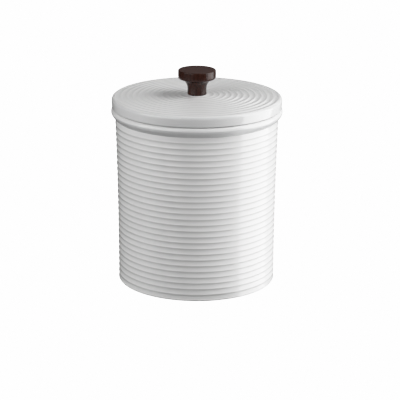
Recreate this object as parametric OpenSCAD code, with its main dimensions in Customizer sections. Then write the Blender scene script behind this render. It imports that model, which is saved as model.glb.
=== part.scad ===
// Ribbed ceramic canister with a lift-off lid and a turned wooden knob.
// Millimetres, +Z up, origin at the centre of the foot, on the table.

/* [Jar] */
// Wall radius over the ridges at the foot
wall_r_foot = 63.3; // [62:0.1:64.5]
// Wall radius over the ridges at the top ridge
wall_r_top = 65.25; // [63.5:0.05:66]
// How far the wall is drawn in at half its height
wall_waist = 0.6; // [0:0.05:1]
// Height of the rim
rim_z = 142.1; // [140:0.1:146]
// Distance from one ridge to the next
rib_pitch = 4.77; // [4.6:0.01:4.8]
// Number of ridges round the wall, above the one at the foot
rib_count = 27; // [20:1:27]
// Height of the ridge at the foot
rib_z0 = 1; // [0.8:0.1:2]
// How far each rib slopes in above its ridge
rib_h = 0.45; // [0.2:0.05:0.8]
// Share of the pitch over which a rib slopes in, before it turns out under the next ridge
rib_deep = 0.62; // [0.5:0.01:0.85]
// Largest radius of the flared collar
collar_r = 68.5; // [67:0.1:70]
// Height of the collar's widest point below the rim
collar_drop = 2.7; // [2:0.1:3.5]
// Radius of the mouth
mouth_r = 60; // [59:0.1:61]
// Inside radius just above the floor
inside_r_foot = 58; // [56:0.1:59]
// Thickness of the floor
floor_t = 7; // [5:0.1:10]
// Radius of the inside corner at the floor
floor_round = 9; // [4:0.5:14]
// Depth of the recess inside the foot ring
foot_recess = 1.6; // [0.5:0.1:3]
// Inner radius of the foot ring
foot_ring_r = 54.5; // [48:0.5:57]

/* [Lid] */
// Largest radius of the lid
lid_r = 68; // [67:0.1:69]
// Gap between the rim and the lid that rests over it
lid_gap = 0.6; // [0.2:0.05:0.8]
// Height of the lid's edge, from its underside to the outermost ring
lid_edge_h = 8.6; // [7.5:0.1:10]
// Rise of the top from the outermost ring to the centre
lid_crown = 1.4; // [0:0.1:3]
// Distance from one ring to the next
ring_pitch = 4.73; // [4.6:0.01:4.73]
// Radius of the outermost ring ridge
ring_r0 = 65.5; // [65:0.1:65.6]
// Number of ring flutes
ring_count = 12; // [8:1:12]
// Depth of the hollow flutes between the rings
ring_h = 0.22; // [0.1:0.02:0.6]
// Outside radius of the plug that drops into the mouth
plug_r = 56.6; // [56:0.1:57]
// Inside radius of the plug
plug_in_r = 50.4; // [48:0.1:51]
// Length of the plug below the lid's underside
plug_h = 11.4; // [10.5:0.1:13]
// Depth of the hollow above the lid's underside, inside the plug
hollow_h = 2.7; // [1:0.1:3]
// Radius of the screw hole
lid_hole_r = 2.6; // [2.3:0.1:3]

/* [Seal] */
// Depth of the groove in the plug
seal_groove = 2; // [1.5:0.1:2.2]
// Width of the groove in the plug
seal_w = 5.6; // [5:0.1:6]
// Room between the seal and the groove
seal_room = 0.15; // [0.1:0.05:0.3]
// Room between the seal's lips and the mouth
lip_room = 0.3; // [0.2:0.05:0.6]

/* [Knob] */
// Height of the knob
knob_h = 20; // [19:0.1:24]
// Radius of the knob's cap
knob_r = 15.1; // [14:0.1:18]
// Radius of the neck at its narrowest
neck_r = 7.5; // [6.5:0.1:8]
// Height of the neck below the cove
neck_h = 4.6; // [4:0.1:5.5]
// Height of the cove between neck and cap
cove_h = 8.2; // [6:0.1:9]

/* [Fasteners] */
// Screw thread radius
screw_r = 2; // [1.9:0.05:2]
// Screw length below the head
screw_len = 20; // [18:1:20]
// Radius of the screw's head
head_r = 4; // [3.5:0.1:4.5]
// Height of the screw's head
head_h = 3; // [2.4:0.1:3.2]
// Outside radius of the insert
insert_r = 3.4; // [3:0.1:3.6]
// Length of the insert
insert_len = 10; // [8:0.5:10]
// Outside radius of the two washers
washer_r = 6; // [5:0.1:7]
// Thickness of the steel washer
steel_t = 1; // [0.8:0.1:1.2]
// Thickness of the soft washer
cushion_t = 1; // [0.8:0.1:1.2]

/* [Hidden] */
$fn = 120;
ridge_soft = 0.18;

rib_z1 = rib_z0 + rib_count * rib_pitch;
collar_z0 = rib_z1 + 0.89 * rib_pitch;
collar_z1 = rim_z - collar_drop;
lid_z = rim_z + lid_gap;
ring_z0 = lid_z + lid_edge_h;
seat_z = ring_z0 + lid_crown;
plate_z = lid_z + hollow_h;
plug_z = lid_z - plug_h;
groove_z = plug_z + 3;
knob_z = seat_z;
cushion_z = plate_z - cushion_t;
steel_z = cushion_z - steel_t;
insert_z = knob_z + 0.5;
insert_hole_top = knob_z + 12;

// A hollow flute between two narrow, softly rounded ridges: 0 on a ridge, 1 in the middle of the flute
function flute(t) = (sqrt(pow(sin(180 * t), 2) + pow(ridge_soft, 2)) - ridge_soft)
                  / (sqrt(1 + pow(ridge_soft, 2)) - ridge_soft);
function arc(cx, cz, r, a0, a1, n) = [for (i = [0 : n]) let (a = a0 + (a1 - a0) * i / n) [cx + r * cos(a), cz + r * sin(a)]];
function oval(cx, cz, rx, rz, a0, a1, n) = [for (i = [0 : n]) let (a = a0 + (a1 - a0) * i / n) [cx + rx * cos(a), cz + rz * sin(a)]];
// A rib from its ridge upwards: it slopes in ever more gently up to rib_deep, then turns out under the next ridge
function rib(t) = t < rib_deep ? 1 - pow(1 - t / rib_deep, 2) : (1 + cos(180 * (t - rib_deep) / (1 - rib_deep))) / 2;
// Wall radius over the ridges at height z, and on a rib at the share t of the pitch above its ridge
function wall_r(z) = let (s = z / rib_z1) wall_r_foot + (wall_r_top - wall_r_foot) * s - 4 * wall_waist * s * (1 - s);
function rib_point(j, t) = let (z = rib_z0 + (j + t) * rib_pitch) [wall_r(z) - rib_h * rib(t), z];
// The topmost rib slopes in all the way up to the collar
function top_point(u) = let (z = rib_z1 + u * (collar_z0 - rib_z1)) [wall_r(z) - rib_h * rib(u * rib_deep), z];
// A curve from a to c that leaves a and reaches c along the lines to b
function bend(a, b, c, n) = [for (i = [0 : n]) let (t = i / n) (1 - t) * (1 - t) * a + 2 * t * (1 - t) * b + t * t * c];
function inside_r(z) = inside_r_foot + (mouth_r - inside_r_foot) * min(1, (z - floor_t) / (rim_z - 20 - floor_t));
// Height of the lid's top, without its rings, at radius r
function crown_z(r) = ring_z0 + lid_crown * (1 - pow(r / ring_r0, 2));
// Points along a rib, down its slope and out again, and along a ring flute, which starts steep beside its ridge
slope_steps = [0, 0.2, 0.45, 0.7];
rib_steps = concat([for (u = slope_steps) u * rib_deep], [for (u = [0, 0.25, 0.5, 0.75]) rib_deep + u * (1 - rib_deep)]);
ring_steps = [0, 0.06, 0.2, 0.4, 0.6, 0.8, 0.94];

collar_r0 = wall_r(collar_z0) - rib_h;

jar_profile = concat(
    [[0, foot_recess], [foot_ring_r - 1.2, foot_recess], [foot_ring_r, 0], [wall_r_foot - rib_z0, 0]],
    arc(wall_r_foot - rib_z0, rib_z0, rib_z0, -70, -16, 3),
    [for (j = [0 : rib_count - 1], t = rib_steps) rib_point(j, t)],
    [for (u = slope_steps) top_point(u)],
    bend([collar_r0, collar_z0], [collar_r, collar_z0 + (collar_r - collar_r0) / 1.2], [collar_r, collar_z1], 9),
    oval(collar_r - 2.2, collar_z1, 2.2, collar_drop, 15, 90, 5),
    arc(mouth_r + 1, rim_z - 1, 1, 90, 180, 4),
    [[mouth_r, rim_z - 20]],
    arc(inside_r(floor_t + floor_round) - floor_round, floor_t + floor_round, floor_round, 0, -90, 6),
    [[0, floor_t]]
);

lid_profile = concat(
    [[lid_hole_r, plate_z]],
    arc(plug_in_r - 1.5, plate_z - 1.5, 1.5, 90, 0, 3),
    [[plug_in_r, plug_z + 1.5]],
    arc(plug_in_r + 1.5, plug_z + 1.5, 1.5, 200, 270, 3),
    arc(plug_r - 1.2, plug_z + 1.2, 1.2, 270, 360, 4),
    [[plug_r, groove_z], [plug_r - seal_groove, groove_z], [plug_r - seal_groove, groove_z + seal_w], [plug_r, groove_z + seal_w]],
    [[plug_r, lid_z - 0.8], [plug_r + 0.8, lid_z], [lid_r - 0.8, lid_z], [lid_r - 0.4, lid_z + 0.12], [lid_r - 0.25, lid_z + 0.5]],
    [[lid_r, lid_z + 4.4], [lid_r, lid_z + lid_edge_h - 2.6]],
    arc(lid_r - 2.6, lid_z + lid_edge_h - 2.6, 2.6, 12, 80, 5),
    [for (j = [0 : ring_count - 1], t = ring_steps) let (r = ring_r0 - (j + t) * ring_pitch) [r, crown_z(r) - ring_h * flute(t)]],
    [[ring_r0 - ring_count * ring_pitch, seat_z], [lid_hole_r, seat_z]]
);

seal_in = plug_r - seal_groove + seal_room;
seal_z0 = groove_z + seal_room;
seal_z1 = groove_z + seal_w - seal_room;
lip_r = mouth_r - lip_room;
lip_gap = (seal_z1 - seal_z0 - 0.9) / 2;
// One lip: a blade that rises a little towards its tip
function lip(z) = [[plug_r + 0.2, z - 0.45], [lip_r - 0.3, z + 0.15], [lip_r, z + 0.4], [lip_r - 0.3, z + 0.65], [plug_r + 0.2, z + 0.45]];

seal_profile = concat(
    [[seal_in, seal_z0]],
    [[plug_r + 0.2, seal_z0]],
    lip(seal_z0 + 0.45), lip(seal_z0 + 0.45 + lip_gap), lip(seal_z0 + 0.45 + 2 * lip_gap),
    [[seal_in, seal_z1]]
);

cove_r = knob_r - neck_r - 0.4;
cap_z = knob_z + neck_h + cove_h;
knob_top = knob_z + knob_h;
knob_profile = concat(
    [[insert_r + 0.02, knob_z]],
    [[neck_r - 0.3, knob_z], [neck_r + 0.1, knob_z + 0.45], [neck_r + 0.03, knob_z + 2.6], [neck_r, knob_z + neck_h - 0.6]],
    oval(neck_r + cove_r, knob_z + neck_h, cove_r, cove_h, 180, 96, 9),
    [[knob_r - 0.85, cap_z + 0.15], [knob_r - 0.35, cap_z + 0.6], [knob_r - 0.05, cap_z + 1.5]],
    [[knob_r, cap_z + 2.6]],
    arc(knob_r - 0.7, knob_top - 0.7, 0.7, 0, 90, 4),
    [[0, knob_top], [0, insert_hole_top], [insert_r + 0.02, insert_hole_top - 1]]
);

module jar() {
    color([0.93, 0.93, 0.92]) rotate_extrude() polygon(jar_profile);
}

module lid() {
    color([0.94, 0.94, 0.93]) rotate_extrude() polygon(lid_profile);
}

module seal_ring() {
    color([0.82, 0.84, 0.84]) rotate_extrude() polygon(seal_profile);
}

module knob() {
    color([0.20, 0.13, 0.11]) rotate_extrude() polygon(knob_profile);
}

// Ridged brass sleeve with a plain collar at its mouth
module threaded_insert() {
    ridges = floor((insert_len - 1.6) / 1.4);
    color([0.78, 0.62, 0.30]) difference() {
        translate([0, 0, insert_z]) rotate_extrude() polygon(concat(
            [[0, 0], [insert_r, 0], [insert_r, 0.8]],
            [for (i = [0 : ridges - 1], p = [[insert_r - 0.5, 0.2], [insert_r, 0.75], [insert_r, 0.95]]) [p[0], 0.8 + i * 1.4 + p[1]]],
            [[insert_r - 0.6, insert_len - 0.4], [insert_r - 1, insert_len], [0, insert_len]]
        ));
        translate([0, 0, insert_z - 1]) cylinder(r = screw_r + 0.03, h = insert_len + 2);
    }
}

module knob_screw() {
    color([0.70, 0.71, 0.73]) difference() {
        translate([0, 0, steel_z]) rotate_extrude() polygon(concat(
            [[0, -head_h]],
            oval(0, -head_h * 0.45, head_r, head_h * 0.55, -78, 0, 6),
            [[head_r, -0.2], [head_r - 0.2, 0], [screw_r, 0], [screw_r, screw_len - 0.6], [screw_r - 0.6, screw_len], [0, screw_len]]
        ));
        for (a = [0, 90]) rotate(a) translate([-2.2, -0.5, steel_z - head_h - 1]) cube([4.4, 1, 2.7]);
    }
}

module ring_washer(r, t, hole) {
    difference() {
        cylinder(r = r, h = t);
        translate([0, 0, -1]) cylinder(r = hole, h = t + 2);
    }
}

module steel_washer() {
    color([0.74, 0.75, 0.77]) translate([0, 0, steel_z]) ring_washer(washer_r, steel_t, screw_r + 0.15);
}

module cushion_washer() {
    color([0.16, 0.16, 0.17]) translate([0, 0, cushion_z]) ring_washer(washer_r, cushion_t, screw_r + 0.1);
}

jar();
lid();
seal_ring();
knob();
threaded_insert();
knob_screw();
steel_washer();
cushion_washer();
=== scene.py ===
import math

import bmesh
import bpy
from mathutils import Matrix, Vector


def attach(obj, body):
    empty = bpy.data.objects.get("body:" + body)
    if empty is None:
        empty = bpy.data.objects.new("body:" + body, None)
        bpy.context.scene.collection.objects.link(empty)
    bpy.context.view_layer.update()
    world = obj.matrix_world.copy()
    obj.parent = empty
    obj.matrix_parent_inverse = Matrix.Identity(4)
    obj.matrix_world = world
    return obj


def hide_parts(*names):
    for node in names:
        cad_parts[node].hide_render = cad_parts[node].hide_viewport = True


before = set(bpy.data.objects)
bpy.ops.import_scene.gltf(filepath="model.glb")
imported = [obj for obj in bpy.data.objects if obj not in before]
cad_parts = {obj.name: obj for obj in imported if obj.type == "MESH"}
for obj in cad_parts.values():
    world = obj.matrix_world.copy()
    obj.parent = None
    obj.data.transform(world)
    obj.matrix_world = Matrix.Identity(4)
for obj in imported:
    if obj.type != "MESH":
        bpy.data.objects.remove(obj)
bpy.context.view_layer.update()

MM = 0.001
sc = bpy.context.scene

# ---------------------------------------------------------------- sizes, in millimetres, as the CAD model has them

WALL_R_FOOT, WALL_R_TOP, WALL_WAIST = 63.3, 65.25, 0.6
RIM_Z, MOUTH_R = 142.1, 60.0
RIB_PITCH, RIB_COUNT, RIB_Z0, RIB_H = 4.77, 27, 1.0, 0.45
COLLAR_R, COLLAR_DROP = 68.5, 2.7
INSIDE_R_FOOT, FLOOR_T, FLOOR_ROUND = 58.0, 7.0, 9.0
FOOT_RECESS, FOOT_RING_R = 1.6, 54.5
LID_R, LID_Z, LID_EDGE_H, LID_CROWN = 68.0, 142.7, 8.6, 1.4
RING_PITCH, RING_R0, RING_COUNT, RING_H = 4.73, 65.5, 12, 0.22
PLUG_R, PLUG_IN_R, PLUG_Z, PLATE_Z, HOLE_R = 56.6, 50.4, 131.3, 145.4, 2.6
GROOVE, GROOVE_Z, GROOVE_W = 2.0, 134.3, 5.6
KNOB_Z, KNOB_H, KNOB_R, NECK_R, NECK_H, COVE_H = 152.7, 20.0, 15.1, 7.5, 4.6, 8.2
STEEL_Z, CUSHION_Z, WASHER_R = 143.4, 144.4, 6.0
HEAD_R, HEAD_H, SCREW_R, SCREW_LEN = 4.0, 3.0, 2.0, 20.0
INSERT_Z, INSERT_R, INSERT_LEN = 153.2, 3.4, 10.0
THREAD = 0.7
RIDGE_SOFT = 0.18
RIB_DEEP = 0.62

RIB_Z1 = RIB_Z0 + RIB_COUNT * RIB_PITCH
COLLAR_Z0 = RIB_Z1 + 0.89 * RIB_PITCH
COLLAR_Z1 = RIM_Z - COLLAR_DROP
RING_Z0 = LID_Z + LID_EDGE_H
SEAT_Z = RING_Z0 + LID_CROWN
COVE_R = KNOB_R - NECK_R - 0.4
CAP_Z = KNOB_Z + NECK_H + COVE_H
KNOB_TOP = KNOB_Z + KNOB_H


def flute(t):
    """A hollow flute between two softly rounded ridges: 0 on a ridge, 1 in the middle of the flute."""
    s = math.sin(math.pi * t)
    return (math.sqrt(s * s + RIDGE_SOFT ** 2) - RIDGE_SOFT) / (math.sqrt(1 + RIDGE_SOFT ** 2) - RIDGE_SOFT)


def rib(t):
    """A rib from its ridge upwards: it slopes in ever more gently, then turns out again under the next ridge."""
    t %= 1.0
    if t < RIB_DEEP:
        return 1 - (1 - t / RIB_DEEP) ** 2
    return (1 + math.cos(math.pi * (t - RIB_DEEP) / (1 - RIB_DEEP))) / 2


def wall_r(z):
    s = z / RIB_Z1
    return WALL_R_FOOT + (WALL_R_TOP - WALL_R_FOOT) * s - 4 * WALL_WAIST * s * (1 - s)


def rib_r(z):
    return wall_r(z) - RIB_H * rib((z - RIB_Z0) / RIB_PITCH)


def inside_r(z):
    return INSIDE_R_FOOT + (MOUTH_R - INSIDE_R_FOOT) * min(1, (z - FLOOR_T) / (RIM_Z - 20 - FLOOR_T))


def crown_z(r):
    return RING_Z0 + LID_CROWN * (1 - (r / RING_R0) ** 2)


# ---------------------------------------------------------------- outlines

def arc(cx, cz, rx, a0, a1, n, rz=None):
    rz = rx if rz is None else rz
    steps = [math.radians(a0 + (a1 - a0) * i / n) for i in range(n + 1)]
    return [(cx + rx * math.cos(a), cz + rz * math.sin(a)) for a in steps]


def line(a, b, n):
    """Points from a towards b, without b."""
    return [(a[0] + (b[0] - a[0]) * i / n, a[1] + (b[1] - a[1]) * i / n) for i in range(n)]


def bend(a, b, c, n):
    """A curve from a to c that leaves a and reaches c along the lines to b."""
    return [tuple((1 - t) ** 2 * p + 2 * t * (1 - t) * q + t * t * r for p, q, r in zip(a, b, c)) for t in (i / n for i in range(n + 1))]


def rounded(points, n=5, closed=False):
    """The polyline with every corner that carries a third number rounded to that radius."""
    out, m = [], len(points)
    for i, p in enumerate(points):
        if len(p) < 3 or (not closed and i in (0, m - 1)):
            out.append(p[:2])
            continue
        a, b, c = (Vector(points[k % m][:2]) for k in (i - 1, i, i + 1))
        u, v = (a - b).normalized(), (c - b).normalized()
        half = math.acos(max(-1, min(1, u.dot(v)))) / 2
        t = min(p[2] / math.tan(half), 0.49 * (a - b).length, 0.49 * (c - b).length)
        centre = b + (u + v).normalized() * (t / math.cos(half))
        s, e = b + u * t - centre, b + v * t - centre
        a0, a1 = math.atan2(s.y, s.x), math.atan2(e.y, e.x)
        turn = (a1 - a0 + math.pi) % (2 * math.pi) - math.pi
        out += [(centre.x + s.length * math.cos(a0 + turn * k / n), centre.y + s.length * math.sin(a0 + turn * k / n)) for k in range(n + 1)]
    return out


def through(points, n):
    """A smooth curve through the points, n steps between each two."""
    out, m = [], len(points)
    for i in range(m - 1):
        p = [Vector(points[max(0, min(m - 1, i + k))]) for k in (-1, 0, 1, 2)]
        for k in range(n):
            t = k / n
            q = 0.5 * (2 * p[1] + (p[2] - p[0]) * t + (2 * p[0] - 5 * p[1] + 4 * p[2] - p[3]) * t * t + (3 * p[1] - p[0] - 3 * p[2] + p[3]) * t ** 3)
            out.append((q.x, q.y))
    return out + [tuple(points[-1])]


def lathe(name, rows, segs, closed=False, tag=None, painted_shade=None, sharp=32):
    """A turned piece. rows are (radius, height) in mm, and a radius may be a function of the angle.
    tag(r, z) gives the material index of a face, and the shade function (r, z) gives the painted shade that is kept
    on the points for the glaze."""
    bm = bmesh.new()
    layer = bm.verts.layers.float.new("painted_shade")
    turn = [2 * math.pi * i / segs for i in range(segs)]
    rings, at = [], []
    for r, z in rows:
        if not callable(r) and r < 1e-6:
            ring = [bm.verts.new((0, 0, z * MM))]
        else:
            rs = [r(a) if callable(r) else r for a in turn]
            ring = [bm.verts.new((q * math.cos(a) * MM, q * math.sin(a) * MM, z * MM)) for q, a in zip(rs, turn)]
        mean = r(0.0) if callable(r) else r
        for v in ring:
            v[layer] = painted_shade(mean, z) if painted_shade else 0.0
        rings.append(ring)
        at.append((mean, z))
    links = [(i, i + 1) for i in range(len(rows) - 1)] + ([(len(rows) - 1, 0)] if closed else [])
    for i, k in links:
        a, b = rings[i], rings[k]
        index = tag((at[i][0] + at[k][0]) / 2, (at[i][1] + at[k][1]) / 2) if tag else 0
        for j in range(segs):
            h = (j + 1) % segs
            if len(a) == 1:
                f = bm.faces.new((a[0], b[h], b[j]))
            elif len(b) == 1:
                f = bm.faces.new((a[j], a[h], b[0]))
            else:
                f = bm.faces.new((a[j], a[h], b[h], b[j]))
            f.material_index = index
            f.smooth = True
    bmesh.ops.recalc_face_normals(bm, faces=bm.faces)
    me = bpy.data.meshes.new(name)
    bm.to_mesh(me)
    bm.free()
    me.set_sharp_from_angle(angle=math.radians(sharp))
    ob = bpy.data.objects.new(name, me)
    sc.collection.objects.link(ob)
    return ob


# ---------------------------------------------------------------- materials

def material(name):
    m = bpy.data.materials.new(name)
    m.use_nodes = True
    nt = m.node_tree
    nt.nodes.clear()
    out = nt.nodes.new("ShaderNodeOutputMaterial")
    b = nt.nodes.new("ShaderNodeBsdfPrincipled")
    nt.links.new(b.outputs["BSDF"], out.inputs["Surface"])
    return m, nt, b


def node(nt, kind, **values):
    n = nt.nodes.new(kind)
    for k, v in values.items():
        setattr(n, k, v)
    return n


def plug(nt, a, b):
    nt.links.new(a, b)


def coords(nt, scale=(1, 1, 1), shift=(0, 0, 0)):
    c = node(nt, "ShaderNodeTexCoord")
    m = node(nt, "ShaderNodeMapping")
    m.inputs["Scale"].default_value = scale
    m.inputs["Location"].default_value = shift
    plug(nt, c.outputs["Object"], m.inputs["Vector"])
    return m.outputs["Vector"]


def noise(nt, vector, size_mm, detail=2.0, rough=0.5, distortion=0.0):
    n = node(nt, "ShaderNodeTexNoise")
    n.inputs["Scale"].default_value = 1000.0 / size_mm
    n.inputs["Detail"].default_value = detail
    n.inputs["Roughness"].default_value = rough
    n.inputs["Distortion"].default_value = distortion
    plug(nt, vector, n.inputs["Vector"])
    return n.outputs["Fac"]


def spread(nt, value, a0, a1, b0, b1):
    n = node(nt, "ShaderNodeMapRange")
    for k, v in zip(("From Min", "From Max", "To Min", "To Max"), (a0, a1, b0, b1)):
        n.inputs[k].default_value = v
    plug(nt, value, n.inputs["Value"])
    return n.outputs["Result"]


def mix(nt, fac, a, b, how="MIX"):
    n = node(nt, "ShaderNodeMix", data_type="RGBA", blend_type=how)
    f = [s for s in n.inputs if s.name == "Factor" and s.type == "VALUE"][0]
    ca, cb = [[s for s in n.inputs if s.name == k and s.type == "RGBA"][0] for k in ("A", "B")]
    for s, v in ((f, fac), (ca, a), (cb, b)):
        if isinstance(v, (int, float)):
            s.default_value = v
        elif isinstance(v, tuple):
            s.default_value = (*v, 1.0)
        else:
            plug(nt, v, s)
    return [s for s in n.outputs if s.type == "RGBA"][0]


def ramp(nt, fac, *stops):
    n = node(nt, "ShaderNodeValToRGB")
    e = n.color_ramp.elements
    while len(e) < len(stops):
        e.new(0.5)
    for x, (pos, col) in zip(e, stops):
        x.position = pos
        x.color = (*col, 1.0) if isinstance(col, tuple) else (col, col, col, 1.0)
    plug(nt, fac, n.inputs["Fac"])
    return n.outputs["Color"]


def bump(nt, height, depth_mm, strength=1.0, under=None):
    n = node(nt, "ShaderNodeBump")
    n.inputs["Strength"].default_value = strength
    n.inputs["Distance"].default_value = depth_mm * MM
    plug(nt, height, n.inputs["Height"])
    if under is not None:
        plug(nt, under, n.inputs["Normal"])
    return n.outputs["Normal"]


GLAZE_ROUGH = 0.1


def glaze():
    """Satin white glaze with painted shade: it turns a cooler grey where the points carry painted shade, most under
    the collar, along the foot and on the lid's edge, a little under each ridge.
    """
    m, nt, b = material("white_glaze_satin")
    v = coords(nt)
    cloud = noise(nt, v, 26, 3.0, 0.55)
    fine = noise(nt, v, 0.9, 2.0, 0.5)
    slow = noise(nt, v, 9, 2.0, 0.5)
    p = node(nt, "ShaderNodeAttribute", attribute_name="painted_shade")
    # painted shade: the white glaze turns to a darker, cooler grey where the points carry painted shade
    glaze_white, painted_shade_grey = (0.846, 0.845, 0.842), (0.688, 0.691, 0.693)
    col = mix(nt, p.outputs["Fac"], glaze_white, painted_shade_grey)
    tone = ramp(nt, cloud, (0.3, 0.975), (0.7, 1.0))
    plug(nt, mix(nt, 1.0, col, tone, "MULTIPLY"), b.inputs["Base Color"])
    plug(nt, spread(nt, slow, 0.3, 0.7, GLAZE_ROUGH - 0.025, GLAZE_ROUGH + 0.025), b.inputs["Roughness"])
    b.inputs["IOR"].default_value = 1.5
    n = bump(nt, slow, 0.03, 0.5)
    plug(nt, bump(nt, fine, 0.006, 0.5, n), b.inputs["Normal"])
    return m


def bisque():
    """Bare fired clay where the piece stood in the kiln: warmer, dry and slightly grainy."""
    m, nt, b = material("bare_clay")
    v = coords(nt)
    grain = noise(nt, v, 0.45, 4.0, 0.6)
    cloud = noise(nt, v, 12, 3.0, 0.6)
    col = mix(nt, cloud, (0.70, 0.655, 0.585), (0.775, 0.74, 0.68))
    specks = ramp(nt, noise(nt, v, 1.1, 1.0, 0.4), (0.28, 0.72), (0.36, 1.0))
    plug(nt, mix(nt, 1.0, col, specks, "MULTIPLY"), b.inputs["Base Color"])
    plug(nt, spread(nt, grain, 0.3, 0.7, 0.78, 0.92), b.inputs["Roughness"])
    b.inputs["Specular IOR Level"].default_value = 0.3
    plug(nt, bump(nt, grain, 0.05, 0.8), b.inputs["Normal"])
    return m


def wood():
    """Dark stained hardwood, turned with the grain upright: growth rings and pores as end grain on the cap,
    fine upright streaks round the sides."""
    m, nt, b = material("dark_wood_oiled")
    # the rings' centre lies outside the knob, and the rings waver slowly along the height
    v = coords(nt, (1, 1, 0.12), (0.024, -0.031, 0))
    w = node(nt, "ShaderNodeTexWave", wave_type="RINGS", rings_direction="Z", wave_profile="SAW")
    for k, x in (("Scale", 190.0), ("Distortion", 5.0), ("Detail", 2.0), ("Detail Scale", 0.35), ("Detail Roughness", 0.55)):
        w.inputs[k].default_value = x
    plug(nt, v, w.inputs["Vector"])
    rings = ramp(nt, w.outputs["Fac"], (0.0, 0.15), (0.55, 0.45), (0.88, 0.95), (1.0, 0.2))
    fibre = noise(nt, coords(nt, (1, 1, 0.035)), 0.35, 3.0, 0.6)
    pore = noise(nt, coords(nt, (1, 1, 0.06), (0.3, 0.1, 0.2)), 0.62, 1.0, 0.4)
    pores = ramp(nt, pore, (0.33, 0.0), (0.43, 1.0))
    patch = noise(nt, coords(nt, (1, 1, 0.3)), 11, 2.0, 0.5)
    col = mix(nt, rings, (0.024, 0.0076, 0.0047), (0.054, 0.0187, 0.0118))
    col = mix(nt, spread(nt, patch, 0.3, 0.7, 0.0, 0.5), col, (0.048, 0.0154, 0.0092))
    col = mix(nt, 1.0, col, ramp(nt, fibre, (0.25, 0.62), (0.75, 1.18)), "MULTIPLY")
    col = mix(nt, 1.0, col, ramp(nt, pore, (0.33, 0.38), (0.43, 1.0)), "MULTIPLY")
    # the end grain of the cap drinks the oil: it stays duller than the sides; its colour is painted paler on the top
    # and darker round the sides, as painted light from above
    height = node(nt, "ShaderNodeSeparateXYZ")
    plug(nt, coords(nt), height.inputs["Vector"])
    end_grain_and_lit_top = spread(nt, height.outputs["Z"], (KNOB_TOP - 0.4) * MM, (KNOB_TOP - 0.05) * MM, 0.0, 1.0)
    plug(nt, mix(nt, 1.0, col, ramp(nt, end_grain_and_lit_top, (0.0, 0.87), (1.0, 1.12)), "MULTIPLY"), b.inputs["Base Color"])
    gloss = mix(nt, end_grain_and_lit_top, ramp(nt, fibre, (0.25, 0.2), (0.75, 0.27)), ramp(nt, fibre, (0.25, 0.6), (0.75, 0.72)))
    plug(nt, gloss, b.inputs["Roughness"])
    b.inputs["IOR"].default_value = 1.46
    b.inputs["Specular IOR Level"].default_value = 0.28
    n = bump(nt, pores, 0.03, 0.6)
    n = bump(nt, fibre, 0.012, 0.6, n)
    plug(nt, n, b.inputs["Normal"])
    return m


def silicone():
    m, nt, b = material("clear_silicone")
    v = coords(nt)
    cloud = noise(nt, v, 7, 3.0, 0.55)
    fine = noise(nt, v, 0.35, 2.0, 0.5)
    plug(nt, mix(nt, cloud, (0.70, 0.72, 0.72), (0.78, 0.795, 0.79)), b.inputs["Base Color"])
    plug(nt, spread(nt, cloud, 0.3, 0.7, 0.38, 0.50), b.inputs["Roughness"])
    b.inputs["IOR"].default_value = 1.41
    b.inputs["Subsurface Weight"].default_value = 0.35
    b.inputs["Subsurface Radius"].default_value = (1.0, 1.0, 1.0)
    b.inputs["Subsurface Scale"].default_value = 0.0015
    plug(nt, bump(nt, fine, 0.006, 0.6), b.inputs["Normal"])
    return m


def turned_metal(name, dark, light, rough0, rough1, line_mm):
    """Metal with the fine rings that turning leaves about its axis."""
    m, nt, b = material(name)
    v = coords(nt)
    w = node(nt, "ShaderNodeTexWave", wave_type="RINGS", rings_direction="Z", wave_profile="SIN")
    for k, x in (("Scale", 314.0 / line_mm), ("Distortion", 1.5), ("Detail", 2.0), ("Detail Scale", 1.0)):
        w.inputs[k].default_value = x
    plug(nt, v, w.inputs["Vector"])
    cloud = noise(nt, v, 1.6, 3.0, 0.6)
    scuff = noise(nt, coords(nt, (1, 1, 4)), 0.25, 3.0, 0.65)
    plug(nt, mix(nt, cloud, dark, light), b.inputs["Base Color"])
    plug(nt, spread(nt, scuff, 0.3, 0.7, rough0, rough1), b.inputs["Roughness"])
    b.inputs["Metallic"].default_value = 1.0
    n = bump(nt, w.outputs["Fac"], 0.002, 0.5)
    plug(nt, bump(nt, scuff, 0.003, 0.4, n), b.inputs["Normal"])
    return m


def rubber():
    m, nt, b = material("black_rubber_matt")
    v = coords(nt)
    dust = noise(nt, v, 2.2, 4.0, 0.65)
    fine = noise(nt, v, 0.18, 2.0, 0.5)
    plug(nt, mix(nt, spread(nt, dust, 0.45, 0.75, 0.0, 1.0), (0.022, 0.022, 0.023), (0.045, 0.045, 0.046)), b.inputs["Base Color"])
    plug(nt, spread(nt, dust, 0.3, 0.7, 0.62, 0.8), b.inputs["Roughness"])
    plug(nt, bump(nt, fine, 0.012, 0.7), b.inputs["Normal"])
    return m


GLAZE, CLAY, WOOD, SILICONE, RUBBER = glaze(), bisque(), wood(), silicone(), rubber()
STEEL = turned_metal("turned_steel", (0.50, 0.505, 0.51), (0.60, 0.605, 0.61), 0.26, 0.40, 0.12)
BRASS = turned_metal("turned_brass", (0.62, 0.44, 0.17), (0.76, 0.56, 0.25), 0.24, 0.38, 0.15)


def place(ob, body, replaced, slot, *mats):
    for m in mats:
        ob.data.materials.append(m)
    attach(ob, body)
    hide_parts(replaced)
    return ob


# ---------------------------------------------------------------- jar

STEPS = (0, 0.022, 0.05, 0.09, 0.15, 0.24, 0.36, 0.5, 0.64, 0.76, 0.85, 0.91, 0.95, 0.978)
RIB_STEPS = (0, 0.03, 0.09, 0.18, 0.29, 0.4, 0.51, 0.62, 0.69, 0.76, 0.83, 0.9, 0.96)
ROUND = 176

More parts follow.
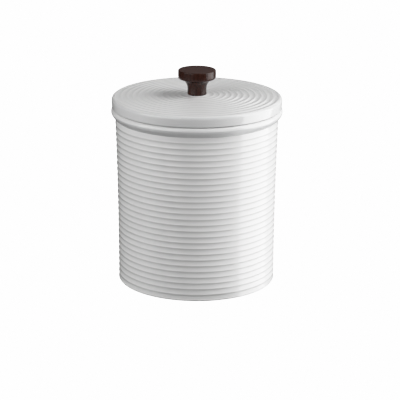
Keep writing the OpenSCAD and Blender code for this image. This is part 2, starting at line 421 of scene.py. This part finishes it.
rows = rounded([(0, FOOT_RECESS), (18, FOOT_RECESS), (36, FOOT_RECESS), (FOOT_RING_R - 1.2, FOOT_RECESS, 1.0), (FOOT_RING_R, 0, 0.5), (58, 0), (WALL_R_FOOT - RIB_Z0, 0)])
rows += arc(WALL_R_FOOT - RIB_Z0, RIB_Z0, RIB_Z0, -80, -12, 6)
for j in range(RIB_COUNT):
    rows += [(rib_r(z), z) for z in (RIB_Z0 + (j + t) * RIB_PITCH for t in RIB_STEPS)]
# the topmost rib slopes in all the way up to the collar
rows += [(wall_r(z) - RIB_H * rib(u * RIB_DEEP), z) for u, z in ((u, RIB_Z1 + u * (COLLAR_Z0 - RIB_Z1)) for u in (0, 0.04, 0.12, 0.26, 0.42, 0.58, 0.74, 0.9))]
collar_r0 = wall_r(COLLAR_Z0) - RIB_H
rows += bend((collar_r0, COLLAR_Z0), (COLLAR_R, COLLAR_Z0 + (COLLAR_R - collar_r0) / 1.2), (COLLAR_R, COLLAR_Z1), 20)
rows += arc(COLLAR_R - 2.2, COLLAR_Z1, 2.2, 6, 90, 12, COLLAR_DROP)
rows += arc(MOUTH_R + 1, RIM_Z - 1, 1, 90, 180, 8)
rows += line((MOUTH_R, RIM_Z - 1.6), (MOUTH_R, RIM_Z - 20), 4)
rows += through([(MOUTH_R, RIM_Z - 20), (inside_r(90), 90), (inside_r(55), 55), (inside_r(FLOOR_T + FLOOR_ROUND + 4), FLOOR_T + FLOOR_ROUND + 4)], 5)
rows += arc(inside_r(FLOOR_T + FLOOR_ROUND) - FLOOR_ROUND, FLOOR_T + FLOOR_ROUND, FLOOR_ROUND, 0, -90, 14)
rows += [(36, FLOOR_T), (18, FLOOR_T), (6, FLOOR_T), (0, FLOOR_T)]


def jar_painted_shade(r, z):
    """Painted shade: full under the collar and along the foot, slight elsewhere, a little more towards the underside
    of each ridge.
    """
    if r > 61.5 and (COLLAR_Z0 <= z < COLLAR_Z1 or z < 0.9 * RIB_Z0):
        return 1.0
    t = (z - RIB_Z0) / RIB_PITCH % 1.0
    return 0.06 + 0.03 * max(0.0, min(1.0, (t - 0.45) / 0.25)) if RIB_Z0 < z < RIB_Z1 + 1 and r > 61.5 else 0.11


jar = lathe("jar_stoneware", rows, ROUND, tag=lambda r, z: 1 if z < 0.12 and r > FOOT_RING_R - 0.2 else 0, painted_shade=jar_painted_shade)
place(jar, "jar", "jar", "white_glaze", GLAZE, CLAY)

# ---------------------------------------------------------------- lid

rows = [(HOLE_R, PLATE_Z), (HOLE_R + 0.4, PLATE_Z), (12, PLATE_Z), (24, PLATE_Z), (36, PLATE_Z)]
rows += arc(PLUG_IN_R - 1.5, PLATE_Z - 1.5, 1.5, 90, 0, 7)
rows += line((PLUG_IN_R, PLATE_Z - 2.2), (PLUG_IN_R, PLUG_Z + 1.5), 4)
rows += arc(PLUG_IN_R + 1.5, PLUG_Z + 1.5, 1.5, 180, 270, 7)
rows += arc(PLUG_R - 1.2, PLUG_Z + 1.2, 1.2, 270, 360, 7)
rows += rounded([(PLUG_R, PLUG_Z + 1.6), (PLUG_R, GROOVE_Z, 0.3), (PLUG_R - GROOVE, GROOVE_Z, 0.3), (PLUG_R - GROOVE, GROOVE_Z + GROOVE_W, 0.3), (PLUG_R, GROOVE_Z + GROOVE_W, 0.3), (PLUG_R, LID_Z - 0.9)], 4)
rows += arc(PLUG_R + 0.8, LID_Z - 0.8, 0.8, 180, 90, 6)
rows += [(60, LID_Z), (64, LID_Z)]
rows += through([(LID_R - 0.8, LID_Z), (LID_R - 0.4, LID_Z + 0.12), (LID_R - 0.25, LID_Z + 0.5)], 4)
rows += through([(LID_R - 0.2, LID_Z + 1.4), (LID_R - 0.1, LID_Z + 2.8), (LID_R, LID_Z + 4.4), (LID_R, LID_Z + LID_EDGE_H - 2.6)], 3)
rows += arc(LID_R - 2.6, LID_Z + LID_EDGE_H - 2.6, 2.6, 6, 82, 14)
for j in range(RING_COUNT):
    rows += [(r, crown_z(r) - RING_H * flute(t)) for r, t in ((RING_R0 - (j + t) * RING_PITCH, t) for t in STEPS)]
rows += [(RING_R0 - RING_COUNT * RING_PITCH, SEAT_Z), (5.5, SEAT_Z), (HOLE_R + 0.3, SEAT_Z), (HOLE_R, SEAT_Z - 0.3), (HOLE_R, 149)]


def lid_painted_shade(r, z):
    """Painted shade, greyest along the lid's edge; the top of the lid carries a little less than the rest."""
    if r > LID_R - 0.9:
        return 0.63
    return 0.07 if z > RING_Z0 - 1 else 0.11


lid = lathe("lid_stoneware", rows, ROUND, closed=True, tag=lambda r, z: 1 if z < PLUG_Z + 0.25 else 0, painted_shade=lid_painted_shade)
place(lid, "lid", "lid", "white_glaze", GLAZE, CLAY)

# ---------------------------------------------------------------- seal

z0, z1 = GROOVE_Z + 0.15, GROOVE_Z + GROOVE_W - 0.15
step = (z1 - z0 - 0.9) / 2
lip_r = MOUTH_R - 0.3
points = [(PLUG_R - GROOVE + 0.15, z0, 0.3)]
for i in range(3):
    z = z0 + 0.45 + i * step
    points += [(PLUG_R + 0.2, z - 0.45, 0.25), (lip_r - 0.3, z + 0.15, 0.4), (lip_r, z + 0.4, 0.2), (lip_r - 0.3, z + 0.65, 0.4), (PLUG_R + 0.2, z + 0.45, 0.25)]
points += [(PLUG_R - GROOVE + 0.15, z1, 0.3)]
seal = lathe("seal_silicone", rounded(points, 4, closed=True), ROUND, closed=True, sharp=50)
place(seal, "seal", "seal_ring", "silicone", SILICONE)

# ---------------------------------------------------------------- knob

rows = [(0, KNOB_Z + 12), (INSERT_R + 0.02, KNOB_Z + 11), (INSERT_R + 0.02, KNOB_Z + 5), (INSERT_R + 0.02, KNOB_Z)]
rows += rounded([(5, KNOB_Z), (NECK_R - 0.3, KNOB_Z, 0.2), (NECK_R + 0.1, KNOB_Z + 0.45, 0.5), (NECK_R + 0.07, KNOB_Z + 1.4)], 4)
rows += through([(NECK_R + 0.03, KNOB_Z + 2.6), (NECK_R, KNOB_Z + NECK_H - 0.6)], 5)[:-1]
rows += arc(NECK_R + COVE_R, KNOB_Z + NECK_H, COVE_R, 180, 96, 26, COVE_H)
rows += through([(KNOB_R - 0.85, CAP_Z + 0.15), (KNOB_R - 0.35, CAP_Z + 0.6), (KNOB_R - 0.05, CAP_Z + 1.5), (KNOB_R, CAP_Z + 2.6)], 6)
rows += line((KNOB_R, CAP_Z + 3.2), (KNOB_R, KNOB_TOP - 0.7), 4)
rows += arc(KNOB_R - 0.7, KNOB_TOP - 0.7, 0.7, 0, 90, 10)
rows += [(12, KNOB_TOP), (8, KNOB_TOP), (4, KNOB_TOP), (0, KNOB_TOP)]
knob = lathe("knob_wood", rows, 128, sharp=40)
place(knob, "lid", "knob", "dark_wood", WOOD)

# ---------------------------------------------------------------- screw, insert and washers


def thread_r(low, high, z):
    """Radius of a right-hand thread at height z, as a function of the angle."""
    def r(a):
        t = (z / THREAD - a / (2 * math.pi)) % 1.0
        return low + (high - low) * max(0.0, min(1.0, 1.5 - 3.2 * abs(t - 0.5) + 0.1))
    return r


rows = [(0, STEEL_Z - HEAD_H)]
rows += arc(0, STEEL_Z - HEAD_H * 0.45, HEAD_R, -84, 0, 16, HEAD_H * 0.55)
rows += rounded([(HEAD_R, STEEL_Z - 0.8), (HEAD_R, STEEL_Z, 0.2), (SCREW_R, STEEL_Z, 0.05), (SCREW_R, STEEL_Z + 0.5)], 4)
n = 236
for i in range(n + 1):
    z = STEEL_Z + 0.7 + (SCREW_LEN - 1.5) * i / n
    fade = min(1.0, i / 12)
    rows.append((thread_r(SCREW_R - 0.42 * fade, SCREW_R, z), z))
rows += [(SCREW_R - 0.5, STEEL_Z + SCREW_LEN - 0.5), (SCREW_R - 0.7, STEEL_Z + SCREW_LEN), (0, STEEL_Z + SCREW_LEN)]
screw = lathe("screw_steel", rows, 48)

# the cross recess narrows towards its bottom
for k in range(2):
    bm = bmesh.new()
    z_low, z_high = STEEL_Z - HEAD_H - 0.3, STEEL_Z - HEAD_H + 1.75
    quad = []
    for z, half, wide in ((z_low, 2.25, 0.52), (z_high, 1.0, 0.34)):
        pts = [(-half, -wide), (half, -wide), (half, wide), (-half, wide)]
        quad.append([bm.verts.new(((x if k == 0 else -y) * MM, (y if k == 0 else x) * MM, z * MM)) for x, y in pts])
    bm.faces.new(quad[0])
    bm.faces.new(quad[1])
    for i in range(4):
        bm.faces.new((quad[0][i], quad[0][(i + 1) % 4], quad[1][(i + 1) % 4], quad[1][i]))
    bmesh.ops.recalc_face_normals(bm, faces=bm.faces)
    me = bpy.data.meshes.new("recess")
    bm.to_mesh(me)
    bm.free()
    cutter = bpy.data.objects.new("recess", me)
    sc.collection.objects.link(cutter)
    mod = screw.modifiers.new("recess", "BOOLEAN")
    mod.operation, mod.object, mod.solver = "DIFFERENCE", cutter, "EXACT"
    dg = bpy.context.evaluated_depsgraph_get()
    cut = bpy.data.meshes.new_from_object(screw.evaluated_get(dg))
    screw.modifiers.clear()
    screw.data = cut
    bpy.data.objects.remove(cutter)
for f in screw.data.polygons:
    f.use_smooth = True
screw.data.set_sharp_from_angle(angle=math.radians(32))
place(screw, "lid", "knob_screw", "steel", STEEL)

rows = rounded([(SCREW_R + 0.3, INSERT_Z), (INSERT_R, INSERT_Z, 0.15), (INSERT_R, INSERT_Z + 0.8, 0.1)], 4)[:-1] + [(INSERT_R, INSERT_Z + 0.8)]
for i in range(6):
    z = INSERT_Z + 0.8 + 1.4 * i
    rows += [(INSERT_R - 0.5, z + 0.2), (INSERT_R - 0.45, z + 0.27), (INSERT_R - 0.04, z + 0.74), (INSERT_R, z + 0.8), (INSERT_R, z + 0.95)]
rows += [(INSERT_R - 0.6, INSERT_Z + INSERT_LEN - 0.4), (INSERT_R - 1, INSERT_Z + INSERT_LEN), (SCREW_R + 0.3, INSERT_Z + INSERT_LEN)]
n = 118
for i in range(n + 1):
    z = INSERT_Z + INSERT_LEN - 0.3 - (INSERT_LEN - 0.6) * i / n
    rows.append((thread_r(SCREW_R - 0.37, SCREW_R + 0.05, z), z))
insert = lathe("insert_brass", rows, 48, closed=True)
place(insert, "lid", "threaded_insert", "brass", BRASS)


def washer(name, r, hole, z, t, edge):
    pts = [(hole, z, edge * 0.5), (r, z, edge), (r, z + t, edge * 0.4), (hole, z + t, edge * 0.5)]
    return lathe(name, rounded(pts, 5, closed=True), 72, closed=True)


place(washer("washer_steel", WASHER_R, SCREW_R + 0.15, STEEL_Z, 1.0, 0.3), "lid", "steel_washer", "steel", STEEL)
place(washer("washer_rubber", WASHER_R, SCREW_R + 0.1, CUSHION_Z, 1.0, 0.15), "lid", "cushion_washer", "black_rubber", RUBBER)

# ---------------------------------------------------------------- camera

cam = bpy.data.cameras.new("camera")
cam.sensor_width = 36.0
cam.lens = 1837.565 * 36.0 / 400.0
cam.clip_start, cam.clip_end = 0.05, 50.0
eye = bpy.data.objects.new("camera", cam)
sc.collection.objects.link(eye)
pitch, pan, roll = 0.2994, 0.002, 0.005
ahead = Vector((math.sin(pan) * math.cos(pitch), math.cos(pan) * math.cos(pitch), -math.sin(pitch)))
right = Vector((math.cos(pan), -math.sin(pan), 0))
up = right.cross(ahead)
right, up = math.cos(roll) * right + math.sin(roll) * up, math.cos(roll) * up - math.sin(roll) * right
eye.matrix_world = Matrix.Translation((0, -1.42354, 0.50375)) @ Matrix((right, up, -ahead)).transposed().to_4x4()
sc.camera = eye

# ---------------------------------------------------------------- light and floor

sc.view_settings.view_transform = "Standard"
sc.view_settings.look = "None"

# highlights roll off softly above half brightness, as they do in a camera
SHOULDER, WHITE = 0.5, 3.0
tone = sc.view_settings.curve_mapping
sc.view_settings.use_curve_mapping = True
tone.white_level = (WHITE, WHITE, WHITE)
tone.initialize()


def rolled(x):
    return x if x < SHOULDER else 1 - (1 - SHOULDER) * math.exp((SHOULDER - x) / (1 - SHOULDER))


points = tone.curves[3].points
points[0].location, points[1].location = (0, 0), (1, rolled(WHITE))
for x in [SHOULDER + (WHITE - SHOULDER) * (i / 16) ** 2 for i in range(16)]:
    points.new(x / WHITE, rolled(x))
for p in points:
    p.handle_type = "VECTOR"
tone.update()

# upright soft panels: first and last bearing from the camera (right is positive), lowest and highest angle, radiance
LIGHTS = {
    "right_panel": (62, 116, 4, 60, 5.1),
    "right_low": (64, 118, -30, 4, 5.1),
    "right_under": (70, 122, -64, -44, 1.9),
    "left_panel": (-85, -22, 4, 45, 3.15),
    "left_low": (-85, -22, -30, 4, 0.3),
    "front_low": (-22, 48, 4, 18, 0.15),
    "back_right": (158, 173.5, 20, 43, 1.7),
    "backdrop": (135, 200, -6, 38, 0.28),
}
PANEL_FAR, PANEL_MID = 1.2, 0.09


def panel(name, first, last, low, high, radiance):
    lamp = bpy.data.lights.new(name, "AREA")
    wide = 2 * PANEL_FAR * math.tan(math.radians(last - first) / 2)
    z0, z1 = (PANEL_MID + PANEL_FAR * math.tan(math.radians(a)) for a in (low, high))
    lamp.shape, lamp.size, lamp.size_y = "RECTANGLE", wide, z1 - z0
    lamp.energy = math.pi * wide * (z1 - z0) * radiance
    ob = bpy.data.objects.new(name, lamp)
    sc.collection.objects.link(ob)
    a = math.radians((first + last) / 2)
    d = Vector((math.sin(a), -math.cos(a), 0))
    ob.matrix_world = Matrix.Translation(d * PANEL_FAR + Vector((0, 0, (z0 + z1) / 2))) @ (-d).to_track_quat("-Z", "Y").to_matrix().to_4x4()
    ob.visible_camera = False
    return ob


for name, v in LIGHTS.items():
    panel(name, *v)

world = bpy.data.worlds.new("studio")
sc.world = world
world.use_nodes = True
nt = world.node_tree
nt.nodes.clear()
seen, lit = node(nt, "ShaderNodeBackground"), node(nt, "ShaderNodeBackground", name="lit")
seen.inputs["Color"].default_value = (1, 1, 1, 1)
seen.inputs["Strength"].default_value = 2.5
lit.inputs["Color"].default_value = (1, 1, 1, 1)
lit.inputs["Strength"].default_value = 0.02
path, pick, out = node(nt, "ShaderNodeLightPath"), node(nt, "ShaderNodeMixShader"), node(nt, "ShaderNodeOutputWorld")
plug(nt, path.outputs["Is Camera Ray"], pick.inputs["Fac"])
plug(nt, lit.outputs["Background"], pick.inputs[1])
plug(nt, seen.outputs["Background"], pick.inputs[2])
plug(nt, pick.outputs["Shader"], out.inputs["Surface"])

me = bpy.data.meshes.new("floor")
bm = bmesh.new()
bmesh.ops.create_grid(bm, x_segments=1, y_segments=1, size=6.0)
bm.to_mesh(me)
bm.free()
floor = bpy.data.objects.new("floor", me)
sc.collection.objects.link(floor)
m = bpy.data.materials.new("pale_floor")
m.use_nodes = True
nt = m.node_tree
nt.nodes.clear()
glow, see, out = node(nt, "ShaderNodeEmission"), node(nt, "ShaderNodeBsdfTransparent"), node(nt, "ShaderNodeOutputMaterial")
glow.inputs["Color"].default_value = (1, 1, 1, 1)
glow.inputs["Strength"].default_value = 2.5
geo, pick = node(nt, "ShaderNodeNewGeometry"), node(nt, "ShaderNodeMixShader")
plug(nt, geo.outputs["Backfacing"], pick.inputs["Fac"])
plug(nt, glow.outputs["Emission"], pick.inputs[1])
plug(nt, see.outputs["BSDF"], pick.inputs[2])
plug(nt, pick.outputs["Shader"], out.inputs["Surface"])
me.materials.append(m)
floor.visible_diffuse = floor.visible_glossy = floor.visible_shadow = floor.visible_transmission = False

# only the floor close round the foot holds back the low light, which leaves a thin dark line along the bottom edge
me = bpy.data.meshes.new("floor_close")
bm = bmesh.new()
turn = [2 * math.pi * i / 96 for i in range(96)]
near, far = [[bm.verts.new((r * math.cos(a), r * math.sin(a), 0)) for a in turn] for r in ((WALL_R_FOOT - 0.7) * MM, (WALL_R_FOOT + 12) * MM)]
for i in range(96):
    bm.faces.new((near[i], near[i - 1], far[i - 1], far[i]))
bm.to_mesh(me)
bm.free()
close = bpy.data.objects.new("floor_close", me)
sc.collection.objects.link(close)
m = bpy.data.materials.new("pale_floor_close")
m.use_nodes = True
me.materials.append(m)
close.visible_camera = close.visible_diffuse = close.visible_glossy = close.visible_transmission = False
